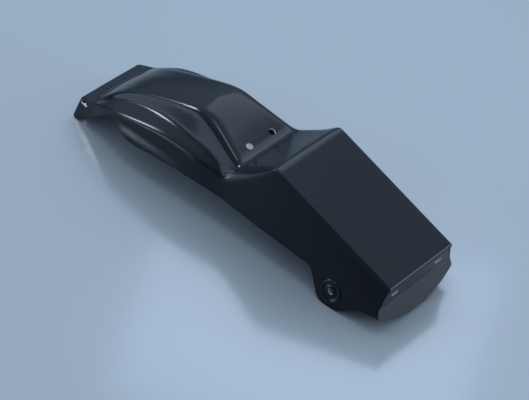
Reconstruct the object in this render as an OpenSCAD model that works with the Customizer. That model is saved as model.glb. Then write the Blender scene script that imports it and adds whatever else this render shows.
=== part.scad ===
// Motorcycle rear inner fender, moulded in one piece.
// X runs rearwards, Y runs across and Z is up, from the middle of the floor
// under the part, which stands on its two front corners and its two side tabs.
// Inside the source, X is counted from the lower edge of the front plate.

/* [Overall] */
// Length of the whole moulding, front plate to tail
fender_length = 686; // [605:1:785]
// Half of the width across the side walls at their lower edge
skirt_half = 97; // [88:1:115]
// Half of the width across the top of the box
box_half = 76; // [66:1:80]
// Thickness of the moulded wall
wall = 3; // [2:0.1:4]

/* [Front flange] */
// Half of the width of the front plate
plate_half = 69; // [62:1:76]
// Height of the fold above the floor
fold_height = 50; // [44:1:56]
// How far the front plate leans back up to the fold
plate_lean = 15; // [8:1:20]
// Depth of the strip between the fold and the foot of the hump
strip_depth = 25; // [18:1:30]
// Diameter of the two holes in the front plate
plate_hole_d = 9; // [6:0.5:12]
// Distance between the two holes in the front plate
plate_hole_spacing = 96; // [70:1:104]
// Height of the holes in the front plate
plate_hole_height = 22; // [17:1:28]
// Length of the slot in each corner of the flange
corner_slot_length = 17; // [11:1:18]
// Width of the slot in each corner of the flange
corner_slot_width = 7; // [5:0.5:9]

/* [Hump] */
// Height of the highest point of the hump
hump_height = 164; // [150:1:176]
// Half of the width of the hump along its crest
crest_half = 44; // [38:1:50]
// Length of the flat facet behind the crest, measured level
facet_length = 74; // [62:1:84]
// Half of the width of the facet at its rear edge
facet_half = 64; // [56:1:66]
// Diameter of the two holes in the facet
facet_hole_d = 12; // [8:0.5:14]
// Distance between the two holes in the facet
facet_hole_spacing = 53; // [36:1:80]
// Distance of the facet holes from its rear edge
facet_hole_setback = 19; // [12:1:30]

/* [Box] */
// Height of the front edge of the box
box_height = 171; // [160:1:182]
// Length of the top of the box, measured level
box_length = 241; // [200:1:280]
// Height of the tail edge of the box
tail_height = 86.5; // [78:0.5:96]
// Depth of the lip along the tail edge
lip_depth = 6; // [4:0.5:8]
// How far the tail band sits in from the lip
band_step = 3; // [1.5:0.5:5]
// Height of the crease between the tail band and the tail face
band_foot = 46; // [42:1:52]
// Height of the lowest point of the rounded tail face
face_foot = 5; // [2:1:16]
// Length of each slot in the tail band
slot_length = 17; // [12:1:24]
// Width of each slot in the tail band
slot_width = 5.5; // [4:0.5:8]
// Distance between the middles of the two slots
slot_spacing = 106; // [80:1:112]

/* [Tabs] */
// Height of the lower edge of the side wall ahead of the tab
edge_height = 48; // [42:1:54]
// Distance of the indicator boss from the tail
boss_setback = 94; // [86:1:102]
// Height of the middle of the indicator boss
boss_height = 29; // [26:1:34]
// Outer diameter of the indicator boss
boss_d = 40; // [30:1:44]
// Height that the boss stands out from the tab
boss_raise = 1.8; // [0.8:0.2:3]
// Diameter of the hole for the indicator stalk
boss_hole_d = 12; // [8:0.5:16]

/* [Hidden] */

// Steps of the curve at each rib, at each corner of a section and of an outline
rib_steps = 3;
corner_steps = 3;
outline_steps = 8;
// The largest share of a span that one rounding may take up
most_share = 0.45;
// How far the raw moulding runs below the floor and past the tail before trimming
spare = 8;
// How far the rounding reaches where a side wall turns down at its rim
rim_reach = 3.5;
// Height of the lower rim of the front plate
plate_foot = 5;
round_fn = 48;

// Where the features stand along the length
tail_x = fender_length - 5;
fold_x = plate_lean;
foot_x = fold_x + strip_depth;
box_x = tail_x - box_length;
facet_end_x = box_x - 76;
facet_end_z = 122;
facet_start_x = facet_end_x - facet_length;
facet_start_z = facet_end_z + 29;
hump_run = facet_start_x - foot_x;
hump_rise = hump_height - fold_height - 6;
boss_x = tail_x - boss_setback;
// Slopes of the leaning faces, and the lean of the side walls at the tabs
plate_slope = atan2(fold_height - plate_foot, plate_lean);
facet_slope = atan2(facet_start_z - facet_end_z, facet_length);
crease_height = 65;
crease_half = skirt_half - 9;
tab_half = skirt_half + 2.7;
tab_lean = atan2(tab_half - crease_half, crease_height + spare);

// A rib of the moulding: the middle, crest, valley, shoulder, skirt, rim and
// foot of one half of a section, each as [x, y, z], and how far the rounding
// reaches at the first five of them
function rib(middle, crest, valley, shoulder, skirt, rim, foot, reach) =
    [middle, crest, valley, shoulder, skirt, rim, foot,
     [reach[0], reach[1], reach[2]], [reach[3], reach[4], rim_reach]];

// A rib with a side wall that runs straight from its skirt to its foot
function plain_rib(middle, crest, valley, shoulder, skirt, foot, reach) =
    rib(middle, crest, valley, shoulder, skirt, (skirt + foot) / 2, foot, reach);

// A rib across the hump, at a share of its run and of its rise. Its side wall
// flares out from the skirt and turns straight down at a rim height
function hump_rib(run, rise, crest, valley, shoulder, skirt, rim) =
    let (x = foot_x + run * hump_run, z = fold_height + 6 + rise * hump_rise,
         low = [x + 6, skirt_half + skirt[0], skirt[1]],
         turn = [x + 6, skirt_half + rim[0], rim[1]])
    rib([x, 0, z], [x, crest_half + crest, z - 4],
        [x + 1, crest_half + valley[0], z - valley[1]],
        [x + 2, skirt_half + shoulder[0], z - shoulder[1]],
        low, turn, [x + 8, turn[1] + 3, -spare], [24, 12, 6, 14, 10]);

// A rib across the box, at a share of its length
function box_rib(share, corner_reach) =
    let (x = box_x + share * box_length, z = box_height - share * (box_height - tail_height),
         half = box_half - share, crease = crease_height - 20 * pow(share, 4),
         low = skirt_half + 4.5 * share)
    plain_rib([x, 0, z], [x, half - 16, z], [x, half, z], [x, half + 1, z - 9],
        [x, crease_half + 0.5 - 2 * pow(share, 4), crease], [x, low, -spare],
        [10, 6, corner_reach, 3, 14]);

ribs = [
    plain_rib([0, 0, plate_foot], [0, plate_half - 26, plate_foot], [0, plate_half - 10, plate_foot],
        [0, plate_half, plate_foot], [7, plate_half + 1.5, -1], [14, plate_half + 3, -spare],
        [10, 6, 6, 5, 5]),
    plain_rib([fold_x, 0, fold_height], [fold_x, plate_half - 26, fold_height],
        [fold_x, plate_half - 11, fold_height], [fold_x, plate_half - 2, fold_height],
        [28, plate_half + 2, 22], [42, plate_half + 6, -spare], [10, 6, 6, 5, 5]),
    plain_rib([foot_x - 5, 0, fold_height + 5], [foot_x + 1, plate_half - 19, fold_height + 6],
        [foot_x + 8, plate_half - 10, fold_height + 7], [foot_x + 9, plate_half + 4, fold_height + 9],
        [foot_x + 18, plate_half + 7, 30], [68, plate_half + 11, -spare], [16, 6, 5, 8, 8]),
    hump_rib(0.108, 0.26, 10, [17, 13], [-19, 15], [-17, 42], [-17, 20]),
    hump_rib(0.216, 0.45, 3, [12, 17], [-13, 22], [-12, 72], [-7, 58]),
    hump_rib(0.352, 0.60, -1, [10, 22], [-10, 30], [-12, 76], [-4.5, 59]),
    hump_rib(0.524, 0.745, -2, [13, 26], [-9, 39], [-11, 76], [-4.5, 58]),
    hump_rib(0.70, 0.88, 0, [17, 34], [-9, 45], [-10, 76], [-5, 64]),
    hump_rib(0.856, 1.0, 1, [22, 48], [-9, 58], [-8, 74], [-5, 60]),
    plain_rib([facet_start_x, 0, facet_start_z + 1], [facet_start_x, crest_half + 4, facet_start_z],
        [facet_start_x, crest_half + 26, 114], [facet_start_x, skirt_half - 9, 102],
        [facet_start_x, skirt_half - 7, 68], [facet_start_x, skirt_half - 1, -spare],
        [24, 14, 9, 16, 12]),
    plain_rib([facet_end_x, 0, facet_end_z], [facet_end_x, facet_half + 2, facet_end_z],
        [facet_end_x - 14, box_half + 1, 106], [facet_end_x - 14, skirt_half - 14, 92],
        [facet_end_x - 14, skirt_half - 10, 62], [facet_end_x - 14, skirt_half - 2, -spare],
        [10, 10, 7, 7, 12]),
    plain_rib([box_x - 42, 0, 143], [box_x - 40, box_half - 7, 143.5],
        [box_x - 42, box_half + 1, 134], [box_x - 43, box_half + 4, 126],
        [box_x - 44, skirt_half - 9, 63], [box_x - 44, skirt_half - 1, -spare], [10, 7, 5, 5, 12]),
    box_rib(0, 8),
    box_rib(0.25, 4),
    box_rib(0.62, 4),
    box_rib(1 + 2 * spare / box_length, 4)
];

// How far the rounding reaches along the length at each rib: short at a fold,
// long where the shape flows
flow = 200;
bends = [0, 5, 7, flow, flow, flow, flow, flow, flow, 22, 12, flow, 8, flow, flow, 0];

// The share of the span from p to q that a rounding of the given reach takes
function share_of(p, q, reach) = min(reach / max(norm(q - p), 0.001), most_share);

// Weights of the three points around a corner, at s along a quadratic curve
// that starts a share before it and ends a share after it
function weights(before, after, s) =
    [before * pow(1 - s, 2),
     (1 - before) * pow(1 - s, 2) + 2 * s * (1 - s) + (1 - after) * pow(s, 2),
     after * pow(s, 2)];

// A chain of points with each inner corner rounded. The measure of a span is
// taken on keys, so that ribs and plain points can both be rounded
function soften(items, keys, reaches, steps) =
    [items[0],
     for (i = [1:len(items) - 2])
         let (before = share_of(keys[i], keys[i - 1], reaches[i]),
              after = share_of(keys[i], keys[i + 1], reaches[i]))
         for (k = [0:steps])
             let (w = weights(before, after, k / steps))
             w[0] * items[i - 1] + w[1] * items[i] + w[2] * items[i + 1],
     items[len(items) - 1]];

// The section at one rib, from the left foot over the top to the right foot
function flip(p) = [p[0], -p[1], p[2]];
function section(r) =
    let (half = [r[6], r[5], r[4], r[3], r[2], r[1]],
         points = concat([for (p = half) flip(p)], [r[0]], [for (i = [5:-1:0]) half[i]]),
         reach = [r[8][2], r[8][1], r[8][0], r[7][2], r[7][1]],
         reaches = concat([0], reach, [r[7][0]], [for (i = [4:-1:0]) reach[i]], [0]))
    soften(points, points, reaches, corner_steps);

stations = soften(ribs, [for (r = ribs) r[0]], bends, rib_steps);
outer = [for (r = stations) section(r)];
rows = len(outer);
cols = len(outer[0]);

// The surface direction at a grid point, from its neighbours
function at(grid, i, j) = grid[max(0, min(rows - 1, i))][max(0, min(cols - 1, j))];
function direction(grid, i, j) =
    let (along = at(grid, i + 1, j) - at(grid, i - 1, j),
         across = at(grid, i, j + 1) - at(grid, i, j - 1),
         n = cross(along, across))
    n / norm(n);
inner = [for (i = [0:rows - 1]) [for (j = [0:cols - 1]) outer[i][j] - wall * direction(outer, i, j)]];

// The raw moulding: an outer and an inner skin, joined around their rims
module raw_moulding() {
    points = [for (grid = [outer, inner]) for (row = grid) for (p = row) p];
    function at_outer(i, j) = i * cols + j;
    function at_inner(i, j) = rows * cols + i * cols + j;
    skins = [for (i = [0:rows - 2]) for (j = [0:cols - 2]) each [
        [at_outer(i, j), at_outer(i, j + 1), at_outer(i + 1, j + 1)],
        [at_outer(i, j), at_outer(i + 1, j + 1), at_outer(i + 1, j)],
        [at_inner(i, j), at_inner(i + 1, j + 1), at_inner(i, j + 1)],
        [at_inner(i, j), at_inner(i + 1, j), at_inner(i + 1, j + 1)]]];
    ends = [for (j = [0:cols - 2]) each [
        [at_outer(0, j), at_inner(0, j + 1), at_outer(0, j + 1)],
        [at_outer(0, j), at_inner(0, j), at_inner(0, j + 1)],
        [at_outer(rows - 1, j), at_outer(rows - 1, j + 1), at_inner(rows - 1, j + 1)],
        [at_outer(rows - 1, j), at_inner(rows - 1, j + 1), at_inner(rows - 1, j)]]];
    feet = [for (i = [0:rows - 2]) each [
        [at_outer(i, 0), at_outer(i + 1, 0), at_inner(i + 1, 0)],
        [at_outer(i, 0), at_inner(i + 1, 0), at_inner(i, 0)],
        [at_outer(i, cols - 1), at_inner(i + 1, cols - 1), at_outer(i + 1, cols - 1)],
        [at_outer(i, cols - 1), at_inner(i, cols - 1), at_inner(i + 1, cols - 1)]]];
    polyhedron(points, concat(skins, ends, feet));
}

// A side outline, in X and Z, cut straight through the width
module across(outline) {
    rotate([90, 0, 0])
        linear_extrude(height = 3 * skirt_half, center = true)
            polygon(outline);
}

// What is trimmed away below the lower edge of the side walls
lower_edge = [
    [-spare, 0, 0], [10, 0, 2], [50, 32, 20], [78, 57, 12], [111, 75, 14], [139, 54, 9],
    [160, 51, 14], [214, 58, 40], [facet_end_x - 44, 60, 40], [box_x, edge_height + 4, 40],
    [boss_x - 47, edge_height, 12], [boss_x - 20, 0, 14], [boss_x + 16, 0, 16],
    [boss_x + 52, 27, 18], [tail_x - 5, 33, 2], [tail_x + 60, 33, 0]];
module below_edge() {
    line = [for (p = lower_edge) [p[0], p[1]]];
    curve = soften(line, line, [for (p = lower_edge) p[2]], outline_steps);
    across(concat([[-spare, -60]], curve, [[tail_x + 60, -60]]));
}

// The side outline of the tail: lip, step, leaning band, crease and face
tail_line = [
    [tail_x, tail_height + 20], [tail_x, tail_height - lip_depth],
    [tail_x - band_step, tail_height - lip_depth - 1],
    [tail_x - band_step - 4, band_foot], [fender_length + 1, face_foot - 4]];

module behind_tail() {
    across(concat(tail_line, [[tail_x + 60, face_foot - 4], [tail_x + 60, tail_height + 20]]));
}

// The tail wall: the band and the face, rounded at the bottom
face_half = skirt_half - 6.5;
face_sag = 31 - face_foot;
face_r = (pow(face_half, 2) + pow(face_sag, 2)) / (2 * face_sag);
face_angle = asin(face_half / face_r);
arc_steps = 24;
tail_front = [
    [box_half - 2, tail_height - 2], [crease_half - 2.5, band_foot], [face_half, 31]];
module tail_wall() {
    lower = [for (k = [0:arc_steps]) let (a = face_angle * (1 - 2 * k / arc_steps))
        [face_r * sin(a), face_foot + face_r * (1 - cos(a))]];
    shape = concat(tail_front, [for (k = [1:arc_steps - 1]) lower[k]],
        [for (i = [2:-1:0]) [-tail_front[i][0], tail_front[i][1]]]);
    skin = [for (p = tail_line) [p[0] - wall, p[1]]];
    intersection() {
        across(concat([for (i = [1:4]) tail_line[i]], [for (i = [4:-1:1]) skin[i]]));
        translate([tail_x - 30, 0, 0])
            rotate([90, 0, 90])
                linear_extrude(height = 60)
                    polygon(shape);
    }
}

// The lip: the thick rim along the tail edge
module tail_lip() {
    half = box_half - 3;
    translate([tail_x - 2 * wall, -half, tail_height - lip_depth])
        cube([2 * wall, 2 * half, lip_depth - 1.2]);
}

// The indicator boss: a raised ring around a dished pad and a hub
module boss() {
    r = boss_d / 2;
    rotate_extrude($fn = round_fn)
        polygon([
            [0, -wall], [r - 2, -wall], [r, 0], [r - 0.8, boss_raise - 0.5], [r - 2, boss_raise],
            [r - 4.5, boss_raise], [r - 6, 0.4], [boss_hole_d / 2 + 4, 0.4],
            [boss_hole_d / 2 + 3, boss_raise * 0.8], [0, boss_raise * 0.8]]);
}

// Puts what follows on the outside of both tabs, with +Z pointing out of them
module on_tabs() {
    half = crease_half + (crease_height - boss_height) * tan(tab_lean);
    for (side = [0, 1])
        mirror([0, side, 0])
            translate([boss_x, -half, boss_height])
                rotate([90 - tab_lean, 0, 0])
                    children();
}

// A slot as two round ends and a straight middle, along X, upright
module slot(length, width, depth) {
    reach = (length - width) / 2;
    for (end = [-1, 1])
        translate([end * reach, 0, 0])
            cylinder(d = width, h = depth, center = true, $fn = round_fn);
    cube([2 * reach, width, depth], center = true);
}

module holes() {
    depth = 10 * wall;
    for (side = [-1, 1]) {
        // Front plate
        translate([plate_lean * (plate_hole_height - plate_foot) / (fold_height - plate_foot),
                   side * plate_hole_spacing / 2, plate_hole_height])
            rotate([0, -plate_slope, 0])
                cylinder(d = plate_hole_d, h = depth, center = true, $fn = round_fn);
        // Facet
        translate([facet_end_x - facet_hole_setback * cos(facet_slope),
                   side * facet_hole_spacing / 2,
                   facet_end_z + facet_hole_setback * sin(facet_slope)])
            rotate([0, facet_slope, 0])
                cylinder(d = facet_hole_d, h = depth, center = true, $fn = round_fn);
        // Tail band
        translate([tail_x - band_step - 3, side * slot_spacing / 2,
                   (band_foot + tail_height - lip_depth) / 2 - 1])
            rotate([90, 0, 90])
                slot(slot_length, slot_width, 6 * wall);
    }
    // Corners of the flange
    translate([fold_x + 9.5, 0, fold_height - 7.5])
        rotate([90, 0, 0])
            slot(corner_slot_length, corner_slot_width, 2 * skirt_half);
    // Indicator stalks
    on_tabs()
        cylinder(d = boss_hole_d, h = depth, center = true, $fn = round_fn);
}

module inner_fender() {
    color("#14171c")
        translate([-fender_length / 2, 0, 0])
            difference() {
                union() {
                    difference() {
                        raw_moulding();
                        below_edge();
                        behind_tail();
                    }
                    tail_wall();
                    tail_lip();
                    on_tabs() boss();
                }
                holes();
            }
}

inner_fender();
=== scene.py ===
# %% [markdown]
# # A motorcycle's rear inner fender
# The real part is one glossy black moulding that fits over the rear wheel: a
# flange with bolt holes at the front, a hump over the tyre with a flat facet
# behind it, a box under the seat's tail, a leaning tail face, and a tab on each
# side that carries an indicator. This lesson builds its visible skin in Blender
# on top of a finished CAD frame, which says how large everything is.

# %% Load the frame
import math

import bmesh
import bpy
from mathutils import Matrix, Vector


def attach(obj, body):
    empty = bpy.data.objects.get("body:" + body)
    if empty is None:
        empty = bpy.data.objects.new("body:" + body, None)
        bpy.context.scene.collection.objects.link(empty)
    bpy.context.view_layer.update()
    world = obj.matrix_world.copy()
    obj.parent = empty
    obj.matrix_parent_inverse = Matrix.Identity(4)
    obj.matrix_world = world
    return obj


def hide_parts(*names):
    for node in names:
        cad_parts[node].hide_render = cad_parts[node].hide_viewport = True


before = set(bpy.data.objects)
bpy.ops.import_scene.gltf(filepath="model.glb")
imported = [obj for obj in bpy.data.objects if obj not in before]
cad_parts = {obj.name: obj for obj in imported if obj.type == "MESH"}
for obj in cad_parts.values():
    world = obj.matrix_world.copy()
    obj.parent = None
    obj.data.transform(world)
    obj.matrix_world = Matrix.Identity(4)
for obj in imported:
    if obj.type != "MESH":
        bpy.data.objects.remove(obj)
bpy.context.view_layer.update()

# %% [markdown]
# ## Sizes
# The workshop sizes are in millimetres, with X counted from the lower edge of
# the front plate. The frame's origin is under the middle of the part, so one
# function turns a workshop point into a scene point.

# %% Sizes and the function that places a point
HALF_LENGTH = 343
WALL = 3


def place(x, y, z):
    return Vector((x - HALF_LENGTH, y, z)) / 1000


# %% [markdown]
# ## The ribs
# A moulder makes such a shape over ribs: outlines across the part, one after
# another. Each rib here is one half of a section. It starts from its place along
# the part and has seven points, each as the step from that place, the distance
# from the middle and the height: the middle, the crest, the valley at the foot
# of the hump's side, the shoulder of the side wall, its skirt, the rim where the
# wall turns down, and the foot. After them come how far the five corners from
# crest to rim are rounded, and how far the shape bends to the next rib: short at
# a fold, None where it flows. The shape could also be sculpted by hand, but ribs
# keep the real sizes.

# %% Ribs from the front plate to the tail
PLATE = (6, 6, 5, 5, 4)
HUMP = (12, 6, 14, 10, 4)
BOX = (6, 4, 3, 14, 4)
RIBS = [
    (0, [(0, 0, 5), (0, 43, 5), (0, 59, 5), (0, 69, 5), (7, 70.5, -1), (10, 71, -4), (14, 72, -8)], PLATE, None),
    (15, [(0, 0, 50), (0, 43, 50), (0, 58, 50), (0, 67, 50), (13, 71, 22), (20, 73, 7), (27, 75, -8)], PLATE, 5),
    (40, [(-5, 0, 55), (1, 50, 56), (8, 59, 57), (9, 73, 59), (18, 76, 30), (23, 78, 11), (28, 80, -8)], PLATE, 7),
    (67, [(0, 0, 84), (0, 54, 80), (1, 61, 71), (2, 78, 69), (6, 80, 42), (6, 80, 20), (8, 83, -8)], HUMP, None),
    (94, [(0, 0, 104.6), (0, 47, 100.6), (1, 56, 87.6), (2, 84, 82.6), (6, 85, 72), (6, 90, 58), (8, 93, -8)],
     HUMP, None),
    (128, [(0, 0, 120.8), (0, 43, 116.8), (1, 54, 98.8), (2, 87, 90.8), (6, 85, 76), (6, 92.5, 59), (8, 95.5, -8)],
     HUMP, None),
    (171, [(0, 0, 136.5), (0, 42, 132.5), (1, 57, 110.5), (2, 88, 97.5), (6, 86, 76), (6, 92.5, 58), (8, 95.5, -8)],
     HUMP, None),
    (215, [(0, 0, 151), (0, 44, 147), (1, 61, 117), (2, 88, 106), (6, 87, 76), (6, 92, 64), (8, 95, -8)], HUMP, None),
    (254, [(0, 0, 164), (0, 45, 160), (1, 66, 116), (2, 88, 106), (6, 89, 74), (6, 92, 60), (8, 95, -8)], HUMP, None),
    (290, [(0, 0, 152), (0, 48, 151), (0, 70, 114), (0, 88, 102), (0, 90, 68), (0, 93, 30), (0, 96, -8)],
     (14, 9, 16, 12, 4), 22),
    (364, [(0, 0, 122), (0, 66, 122), (-14, 77, 106), (-14, 83, 92), (-14, 87, 62), (-14, 91, 27), (-14, 95, -8)],
     (10, 7, 7, 12, 4), 12),
    (398, [(0, 0, 143), (2, 69, 143.5), (0, 77, 134), (-1, 80, 126), (-2, 88, 63), (-2, 92, 27), (-2, 96, -8)],
     (7, 5, 5, 12, 4), None),
    (440, [(0, 0, 171), (0, 60, 171), (0, 76, 171), (0, 77, 162), (0, 88.5, 65), (0, 92.7, 28), (0, 97, -8)],
     (6, 8, 3, 14, 4), 8),
    (500, [(0, 0, 150), (0, 60, 150), (0, 75.8, 150), (0, 76.8, 141), (0, 88.5, 65), (0, 93.2, 28), (0, 98, -8)],
     BOX, None),
    (589, [(0, 0, 118.7), (0, 60, 118.7), (0, 75.4, 118.7), (0, 76.4, 109.7), (0, 88.2, 62), (0, 93.6, 28),
           (0, 99.6, -8)], BOX, None),
    (640, [(0, 0, 100.8), (0, 59, 100.8), (0, 75.2, 100.8), (0, 76.2, 91.8), (0, 87.6, 57), (0, 94, 26),
           (0, 100.8, -8)], BOX, None),
    (681, [(-1.2, 0, 86.9), (-1.2, 59, 86.9), (-1.2, 75, 86.9), (-2, 76.2, 79), (-6.8, 87, 46), (-0.5, 94, 22),
           (8, 101.5, -8)], (6, 4, 3, 4, 4), None),
]
print(len(RIBS), "ribs, the highest point at", max(p[2] for rib in RIBS for p in rib[1]), "mm")

# %% [markdown]
# ## From ribs to a cage
# A subdivision surface rounds whatever its cage leaves it. A corner stays tight
# when the cage has a holding point close to it on each side, as modellers do
# with holding edges. So each corner gets two holding points, and each tight fold
# gets a holding rib on each side. They stand half as far again as the rounding
# reaches, because the surface cuts a corner less than an arc does. Where the
# shape flows on, a rib leans a little towards its neighbours instead.

# %% Holding points and holding ribs
HOLD = 1.5
LEAN_IN = 0.1


def towards(a, b, reach, most=0.42):
    return a.lerp(b, min(reach / (b - a).length, most))


def with_holds(rib):
    x, points, reaches = rib[:3]
    points = [Vector((x + step, y, z)) for step, y, z in points]
    half = [points[0]]
    for i, reach in enumerate(reaches, start=1):
        before, after = (towards(points[i], points[j], HOLD * reach) for j in (i - 1, i + 1))
        half += [before, points[i], after]
    return half + [points[6]]


def blend_ribs(a, b, share):
    return [p.lerp(q, share) for p, q in zip(a, b)]


halves = [with_holds(rib) for rib in RIBS]
stations = []
for i, half in enumerate(halves):
    bend = RIBS[i][3]
    if bend:
        for j in (i - 1, i + 1):
            reach = HOLD * bend / (half[0] - halves[j][0]).length
            stations.append(blend_ribs(half, halves[j], min(reach, 0.42)))
        stations.insert(-1, half)
    elif 0 < i < len(RIBS) - 1:
        stations.append(blend_ribs(half, blend_ribs(halves[i - 1], halves[i + 1], 0.5), 2 * LEAN_IN))
    else:
        stations.append(half)
print(len(stations), "stations of", len(stations[0]), "points a side")

# %% [markdown]
# ## The skin
# Each station is drawn as a chain of edges, and bridge_loops lays a strip of
# faces between one chain and the next, as cloth is laid from rib to rib. Only
# one side is made, and mirror makes the other.

# %% Bridge the stations and mirror the half
def chain(mesh, points):
    verts = [mesh.verts.new(place(*p)) for p in points]
    return [mesh.edges.new(pair) for pair in zip(verts, verts[1:])]


def up_on_top(mesh):
    bmesh.ops.recalc_face_normals(mesh, faces=mesh.faces)
    mesh.normal_update()
    top = max(mesh.faces, key=lambda f: f.calc_center_median().z)
    if top.normal.z < 0:
        bmesh.ops.reverse_faces(mesh, faces=mesh.faces)


def bridged(mesh, chains):
    for a, b in zip(chains, chains[1:]):
        bmesh.ops.bridge_loops(mesh, edges=a + b)


cage = bmesh.new()
bridged(cage, [chain(cage, station) for station in stations])
bmesh.ops.mirror(cage, geom=cage.verts[:] + cage.edges[:] + cage.faces[:], axis="Y", merge_dist=1e-5)
bmesh.ops.remove_doubles(cage, verts=cage.verts, dist=1e-5)
up_on_top(cage)
print("cage:", len(cage.faces), "faces")

# %% [markdown]
# ## Apply a stack of modifiers
# Some steps need the finished result of the one before, such as trimming an
# edge that a subdivision has just made smooth. This helper makes an object of a
# bmesh, gives it modifiers, and turns what they show into its real mesh.

# %% Helpers for objects and modifiers
def make_object(name, mesh_or_bmesh):
    if isinstance(mesh_or_bmesh, bmesh.types.BMesh):
        mesh = bpy.data.meshes.new(name)
        mesh_or_bmesh.to_mesh(mesh)
        mesh_or_bmesh.free()
    else:
        mesh = mesh_or_bmesh
    obj = bpy.data.objects.new(name, mesh)
    bpy.context.scene.collection.objects.link(obj)
    return obj


def add_modifier(obj, kind, **settings):
    modifier = obj.modifiers.new(kind.title(), kind)
    for key, value in settings.items():
        setattr(modifier, key, value)
    return modifier


def apply_all(obj):
    bpy.context.view_layer.update()
    shown = obj.evaluated_get(bpy.context.evaluated_depsgraph_get())
    mesh = bpy.data.meshes.new_from_object(shown)
    obj.modifiers.clear()
    old = obj.data
    obj.data = mesh
    bpy.data.meshes.remove(old)
    mesh.name = obj.name


shell = make_object("fender_shell", cage)
add_modifier(shell, "SUBSURF", levels=3, render_levels=3)
apply_all(shell)
print("shell after subdivision:", len(shell.data.polygons), "faces")

# %% [markdown]
# ## The tail
# The box ends in a lip, whose small chamfer catches the light as a line. Under
# it the tail wall leans in to a crease and out again to a rounded lower edge. It
# is flat from side to side, so its rows are chains too, from the lip down, each
# with its own half width.

# %% Rows of the tail wall
CREASE_X, CREASE_Z, CREASE_HALF = 674, 46, 86.5
# The face leans out again under the crease, by 13 mm over its 45 mm, and its
# lower edge is an arc that ends at FACE_END and sags from there to the middle
FACE_HALF = 90.5
FACE_END = 31
FACE_SAG = 26
FACE_LEAN = 13 / 45
face_r = (FACE_HALF ** 2 + FACE_SAG ** 2) / (2 * FACE_SAG)
COLUMNS = [k / 16 for k in range(-16, 17)]


def straight_row(x, z, half):
    return [(x, half * c, z) for c in COLUMNS]


def face_row(share):
    row = []
    for c in COLUMNS:
        low = FACE_END - FACE_SAG + face_r - math.sqrt(face_r ** 2 - (FACE_HALF * c) ** 2)
        z = CREASE_Z + (low - CREASE_Z) * share
        half = CREASE_HALF + (FACE_HALF - CREASE_HALF) * share
        row.append((CREASE_X + FACE_LEAN * (CREASE_Z - z), half * c, z))
    return row


tail = bmesh.new()
rows = [straight_row(679.8, 86.7, 74.4), straight_row(680.9, 85.2, 74.9), straight_row(681, 80.5, 75.7),
        straight_row(678, 79.5, 76),
        straight_row(CREASE_X, CREASE_Z, 86.3), face_row(0.5), face_row(1)]
bridged(tail, [chain(tail, row) for row in rows])
bmesh.ops.recalc_face_normals(tail, faces=tail.faces)
tail.normal_update()
if sum(face.normal.x for face in tail.faces) < 0:
    bmesh.ops.reverse_faces(tail, faces=tail.faces)
tail_wall = make_object("tail_wall", tail)
print("tail wall:", len(tail_wall.data.polygons), "faces")

# %% [markdown]
# ## Materials
# The shell is glass fibre laid in a mould behind a black gelcoat, a thick glossy
# resin skin. It shows as a near black that mirrors the lamps, with the slight
# waviness of hand laid work and a few faint rubs. Where it is drilled, the cut
# laminate under the gelcoat is pale.

# %% Colour and node helpers
def srgb(hex_code):
    parts = [int(hex_code[i:i + 2], 16) / 255 for i in (1, 3, 5)]
    return tuple(p / 12.92 if p <= 0.04045 else ((p + 0.055) / 1.055) ** 2.4 for p in parts) + (1.0,)


def add_node(tree, kind, links=(), **settings):
    node = tree.nodes.new(kind)
    for key, value in settings.items():
        if hasattr(node, key):
            setattr(node, key, value)
        else:
            node.inputs[key.replace("_", " ")].default_value = value
    for source, target in links:
        tree.links.new(source, node.inputs[target])
    return node


def new_material(name):
    material = bpy.data.materials.new(name)
    material.use_nodes = True
    tree = material.node_tree
    return material, tree, tree.nodes["Principled BSDF"]


# %% Gelcoat
gelcoat, tree, shader = new_material("black_gelcoat_moulded")
shader.inputs["IOR"].default_value = 1.35
where = add_node(tree, "ShaderNodeTexCoord")
# Waves about 60 mm long, from the mould, and a fine texture of about 1.5 mm
waves = add_node(tree, "ShaderNodeTexNoise", [(where.outputs["Object"], "Vector")], Scale=16, Detail=1)
peel = add_node(tree, "ShaderNodeTexNoise", [(where.outputs["Object"], "Vector")], Scale=600, Detail=2)
wave_bump = add_node(tree, "ShaderNodeBump", [(waves.outputs["Fac"], "Height")], Strength=0.2, Distance=0.002)
peel_bump = add_node(tree, "ShaderNodeBump", [(peel.outputs["Fac"], "Height"), (wave_bump.outputs["Normal"], "Normal")],
                     Strength=0.08, Distance=0.0003)
tree.links.new(peel_bump.outputs["Normal"], shader.inputs["Normal"])
# Handling leaves cloudy rubs some 80 mm across: a little rougher and paler
rubs = add_node(tree, "ShaderNodeTexNoise", [(where.outputs["Object"], "Vector")], Scale=12, Detail=6)
dull = add_node(tree, "ShaderNodeMapRange", [(rubs.outputs["Fac"], "Value")], From_Min=0.35, From_Max=0.7,
                To_Min=0.15, To_Max=0.21)
tree.links.new(dull.outputs["Result"], shader.inputs["Roughness"])
tint = add_node(tree, "ShaderNodeMix", [(rubs.outputs["Fac"], "Factor")], data_type="RGBA")
tint.inputs["A"].default_value = srgb("#05080d")
tint.inputs["B"].default_value = srgb("#0a0e15")
tree.links.new(tint.outputs["Result"], shader.inputs["Base Color"])

# %% Cut laminate, speckled every millimetre or so where bundles of glass end
laminate, tree, shader = new_material("cut_glass_fibre_laminate")
shader.inputs["Roughness"].default_value = 0.6
where = add_node(tree, "ShaderNodeTexCoord")
fibres = add_node(tree, "ShaderNodeTexNoise", [(where.outputs["Object"], "Vector")], Scale=900, Detail=3)
shade = add_node(tree, "ShaderNodeMix", [(fibres.outputs["Fac"], "Factor")], data_type="RGBA")
shade.inputs["A"].default_value = srgb("#c9cdd2")
shade.inputs["B"].default_value = srgb("#f2f4f6")
tree.links.new(shade.outputs["Result"], shader.inputs["Base Color"])
print("materials:", gelcoat.name, laminate.name)

# %% [markdown]
# ## Wall thickness
# Solidify gives each skin its wall, inwards, so that the outside keeps its size.

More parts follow.
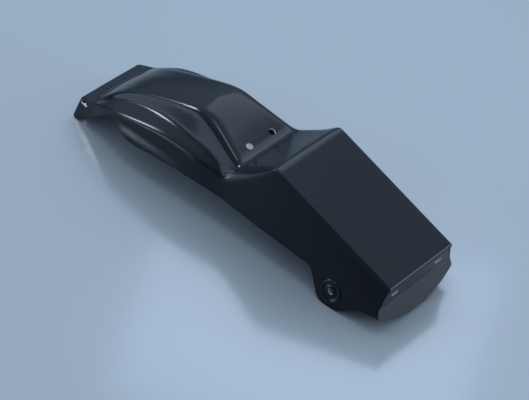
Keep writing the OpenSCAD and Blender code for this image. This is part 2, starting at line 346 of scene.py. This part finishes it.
# %% Solidify the shell and the tail wall
for obj in (shell, tail_wall):
    obj.data.materials.append(gelcoat)
    add_modifier(obj, "SOLIDIFY", thickness=WALL / 1000, offset=-1, use_even_offset=True)
    apply_all(obj)
    print(obj.name, "has", len(obj.data.polygons), "faces with its wall")

# %% [markdown]
# ## Trimming
# The moulding comes out of its mould with spare at its lower edge and is then
# trimmed with a saw along one flowing line in side view: down at the front
# corners, up over the flange, along the wheel arch and down round each tab. A
# Boolean does the sawing. Moving the rows of the wall up to the line would
# also do, but that bends the flare near the rim.

# %% The trimming line, each point with the reach of its rounding
LOWER_EDGE = [
    ((-12, 0), 0), ((10, 0), 2), ((50, 32), 20), ((78, 57), 12), ((111, 75), 14), ((139, 54), 9), ((160, 51), 14),
    ((214, 58), 40), ((320, 60), 40), ((440, 52), 40), ((540, 48), 12), ((567, 0), 14), ((603, 0), 16),
    ((639, 27), 18), ((676, 33), 2), ((741, 33), 0)]


def rounded(line, steps):
    points = [Vector(p) for p, reach in line]
    curve = [points[0]]
    for i in range(1, len(points) - 1):
        before, after = (towards(points[i], points[j], line[i][1], 0.45) for j in (i - 1, i + 1))
        for k in range(steps + 1):
            s = k / steps
            curve.append(before * (1 - s) ** 2 + points[i] * 2 * s * (1 - s) + after * s ** 2)
    return curve + [points[-1]]


TOOL_HALF = 150
TOOL_LOW = -60


def below_edge():
    line = [tuple(p) for p in rounded(LOWER_EDGE, 8)]
    outline = [(line[0][0], TOOL_LOW)] + line + [(line[-1][0], TOOL_LOW)]
    tool = bmesh.new()
    face = tool.faces.new([tool.verts.new(place(x, -TOOL_HALF, z)) for x, z in outline])
    walls = bmesh.ops.extrude_face_region(tool, geom=[face])
    far_side = [v for v in walls["geom"] if isinstance(v, bmesh.types.BMVert)]
    bmesh.ops.translate(tool, vec=(0, 2 * TOOL_HALF / 1000, 0), verts=far_side)
    bmesh.ops.recalc_face_normals(tool, faces=tool.faces)
    obj = make_object("below_edge", tool)
    obj.data.materials.append(gelcoat)
    return obj


def cut(obj, tool):
    add_modifier(obj, "BOOLEAN", operation="DIFFERENCE", solver="MANIFOLD", object=tool, material_mode="TRANSFER")
    apply_all(obj)
    bpy.data.objects.remove(tool)


cut(shell, below_edge())
print("shell after trimming:", len(shell.data.polygons), "faces")

# %% [markdown]
# ## Holes
# All the holes of a skin are drilled at once, by one cutter object that holds a
# cylinder for each. A slot is a cylinder pulled in two halves. The cutter is of
# the cut laminate, so that the drilled faces take it.

# %% Drill the holes
def drill(tool, diameter, length, matrix, stretch=0):
    cone = bmesh.ops.create_cone(tool, cap_ends=True, segments=48, radius1=diameter / 2000, radius2=diameter / 2000,
                                 depth=length / 1000)
    for vert in cone["verts"]:
        vert.co.x += math.copysign(stretch / 2000, vert.co.x)
    bmesh.ops.transform(tool, matrix=matrix, verts=cone["verts"])


def at(x, y, z):
    return Matrix.Translation(place(x, y, z))


def turn(degrees, axis):
    return Matrix.Rotation(math.radians(degrees), 4, axis)


# The slopes come from the rise and run of the plate, the facet and the tab
PLATE_SLOPE = math.degrees(math.atan2(45, 15))
FACET_SLOPE = math.degrees(math.atan2(29, 74))
TAB_LEAN = math.degrees(math.atan2(11.7, 73))
# The indicator's hole is 36 mm below the side wall's crease, which is 88 mm out
TAB_HALF = 88 + 36 * math.tan(math.radians(TAB_LEAN))
# The facet's holes are 19 mm up the facet from its foot at (364, 122)
FACET_UP = 19
facet_x = 364 - FACET_UP * math.cos(math.radians(FACET_SLOPE))
facet_z = 122 + FACET_UP * math.sin(math.radians(FACET_SLOPE))


def tab_matrix(side):
    out = at(587, -TAB_HALF, 29) @ turn(90 - TAB_LEAN, "X")
    return out if side < 0 else Matrix.Scale(-1, 4, (0, 1, 0)) @ out


def drills(tool, name):
    bmesh.ops.recalc_face_normals(tool, faces=tool.faces)
    obj = make_object(name, tool)
    obj.data.materials.append(laminate)
    return obj


tool = bmesh.new()
for side in (-1, 1):
    drill(tool, 9, 20, at(15 * 17 / 45, side * 48, 22) @ turn(-PLATE_SLOPE, "Y"))
    drill(tool, 12, 20, at(facet_x, side * 26.5, facet_z) @ turn(FACET_SLOPE, "Y"))
    drill(tool, 12, 20, tab_matrix(side))
    drill(tool, 7, 30, at(24.5, side * 70, 42.5) @ turn(90, "X"), stretch=10)
cut(shell, drills(tool, "shell_drills"))

tool = bmesh.new()
for side in (-1, 1):
    drill(tool, 5.5, 18, at(675, side * 53, 62.25) @ turn(90, "Y") @ turn(90, "Z"), stretch=11.5)
cut(tail_wall, drills(tool, "tail_drills"))


def smooth_by_angle(obj, degrees):
    obj.data.shade_smooth()
    obj.data.set_sharp_from_angle(angle=math.radians(degrees))


for obj, sharp in ((shell, 40), (tail_wall, 15)):
    smooth_by_angle(obj, sharp)
    print(obj.name, "has", len(obj.data.polygons), "faces and", len(obj.data.materials), "materials")

# %% [markdown]
# ## Indicator bosses
# Each tab carries a round boss: a raised ring, a dished pad and a hub with the
# hole for the lamp's stalk. A boss is turned work, so its profile is spun.

# %% Spin the bosses
BOSS_PROFILE = [(6, 1.45), (9, 1.45), (10, 0.4), (14, 0.4), (15.5, 1.8), (18, 1.8), (19.2, 1.3), (20, 0), (20, -0.5)]


def boss(name, side):
    mesh = bmesh.new()
    verts = [mesh.verts.new((r / 1000, 0, z / 1000)) for r, z in BOSS_PROFILE]
    edges = [mesh.edges.new(pair) for pair in zip(verts, verts[1:])]
    bmesh.ops.spin(mesh, geom=verts + edges, axis=(0, 0, 1), cent=(0, 0, 0), steps=96, angle=math.tau, use_merge=True)
    bmesh.ops.remove_doubles(mesh, verts=mesh.verts, dist=1e-6)
    bmesh.ops.transform(mesh, matrix=tab_matrix(side), verts=mesh.verts)
    bmesh.ops.recalc_face_normals(mesh, faces=mesh.faces)
    mesh.normal_update()
    if sum(f.normal.y for f in mesh.faces) * side < 0:
        bmesh.ops.reverse_faces(mesh, faces=mesh.faces)
    obj = make_object(name, mesh)
    obj.data.materials.append(gelcoat)
    smooth_by_angle(obj, 60)
    return obj


bosses = [boss("indicator_boss_left", -1), boss("indicator_boss_right", 1)]
fender_pieces = [shell, tail_wall, *bosses]
print("bosses:", [b.name for b in bosses])

# %% [markdown]
# ## Tie the pieces to the frame
# The whole part is one body, so every piece rides on the root, and the shell
# and its details stand for the one CAD node.

# %% Ride and replace
for obj in fender_pieces:
    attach(obj, "root")
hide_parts("inner_fender")

# %% [markdown]
# ## Floor, lamps and camera
# A studio table: a pale blue-grey lacquered board under a wide soft sky that is
# dim along the horizon. A small softbox ahead of the front flange draws the
# bright lines along the crest and the shoulders, and one overhead draws the
# facet's edge. A large panel lights the facet, one the hump's near side and one
# the tail, and a low strip shows in the flare. The lens is long and looks down
# from beyond the tail's left corner.

# %% Floor: painted board under a clear lacquer, which mirrors the part softly
plane = bmesh.new()
bmesh.ops.create_grid(plane, x_segments=1, y_segments=1, size=12)
floor = make_object("studio_floor", plane)
floor_material, tree, shader = new_material("lacquered_board")
shader.inputs["Base Color"].default_value = srgb("#9fa4a5")
shader.inputs["Roughness"].default_value = 0.3
shader.inputs["Coat Weight"].default_value = 0.8
shader.inputs["Coat Roughness"].default_value = 0.14
shader.inputs["Coat IOR"].default_value = 1.6
floor.data.materials.append(floor_material)

# %% Sky: brightest beyond the far side, dim along the horizon
world = bpy.data.worlds.new("studio")
bpy.context.scene.world = world
world.use_nodes = True
tree = world.node_tree
looking = add_node(tree, "ShaderNodeTexCoord")
side = add_node(tree, "ShaderNodeVectorMath", [(looking.outputs["Generated"], 0)], operation="DOT_PRODUCT")
side.inputs[1].default_value = (-0.35, 0.70, 0.62)
side_share = add_node(tree, "ShaderNodeMapRange", [(side.outputs["Value"], "Value")], From_Min=-0.5, From_Max=0.7)
height = add_node(tree, "ShaderNodeSeparateXYZ", [(looking.outputs["Generated"], "Vector")])
height_share = add_node(tree, "ShaderNodeMapRange", [(height.outputs["Z"], "Value")], From_Min=0.05, From_Max=0.6)
share = add_node(tree, "ShaderNodeMath", [(side_share.outputs["Result"], 0), (height_share.outputs["Result"], 1)],
                 operation="MULTIPLY")
sky = add_node(tree, "ShaderNodeMix", [(share.outputs["Value"], "Factor")], data_type="RGBA")
sky.inputs["A"].default_value = srgb("#51627a")
sky.inputs["B"].default_value = srgb("#c4dbf4")
tree.links.new(sky.outputs["Result"], tree.nodes["Background"].inputs["Color"])
tree.nodes["Background"].inputs["Strength"].default_value = 1.4


# %% Lamps
def softbox(name, position, target, width, height, watts, colour):
    light = bpy.data.lights.new(name, "AREA")
    light.shape = "RECTANGLE"
    light.size, light.size_y = width, height
    light.energy = watts
    light.color = srgb(colour)[:3]
    lamp = bpy.data.objects.new(name, light)
    bpy.context.scene.collection.objects.link(lamp)
    lamp.location = position
    lamp.rotation_euler = (Vector(target) - Vector(position)).to_track_quat("-Z", "Y").to_euler()
    return lamp


front_lamp = softbox("front_softbox", (-1.5, -0.5, 1.1), (0, 0, 0.1), 0.35, 0.35, 12, "#e9efff")
# The small front softbox lights only the fender, so it leaves no glare on the floor
lit = bpy.data.collections.new("lit_by_front_softbox")
for obj in fender_pieces:
    lit.objects.link(obj)
front_lamp.light_linking.receiver_collection = lit
softbox("top_softbox", (0, -0.25, 1.95), (0, 0, 0.1), 0.5, 0.3, 3.5, "#e9efff")
softbox("far_panel", (-0.3, 0.62, 0.95), (-0.05, 0, 0.14), 0.75, 0.5, 2.5, "#c9dcf5")
softbox("near_panel", (-1.33, -1.33, 0.5), (-0.1, -0.06, 0.12), 1.5, 0.5, 6.5, "#c9dcf5")
softbox("near_strip", (-1.05, -1.25, 0.045), (-0.15, -0.09, 0.05), 0.6, 0.07, 1.3, "#e9efff")
softbox("tail_panel", (1.7, 0.9, 0.45), (0.34, 0, 0.05), 1.2, 0.7, 14, "#c9dcf5")

# %% Camera
camera = bpy.data.objects.new("camera", bpy.data.cameras.new("camera"))
bpy.context.scene.collection.objects.link(camera)
bpy.context.scene.camera = camera
# Right, up and backward axes of the view, measured from the photograph
right = Vector((0.7394, 0.6673, 0.0892))
up = Vector((-0.4927, 0.4461, 0.7472))
back = right.cross(up)
turned = Matrix((right, up, back)).transposed().to_4x4()
camera.matrix_world = Matrix.Translation((1.5594, -2.0076, 2.2333)) @ turned
FOCAL_PIXELS = 2096
IMAGE_WIDTH = 529
camera.data.sensor_width = 36
camera.data.lens = 36 * FOCAL_PIXELS / IMAGE_WIDTH
camera.data.shift_x = 4.5 / IMAGE_WIDTH
camera.data.shift_y = -4 / IMAGE_WIDTH
camera.data.clip_end = 60
bpy.context.scene.view_settings.view_transform = "Standard"
print("lens", round(camera.data.lens, 1), "mm")
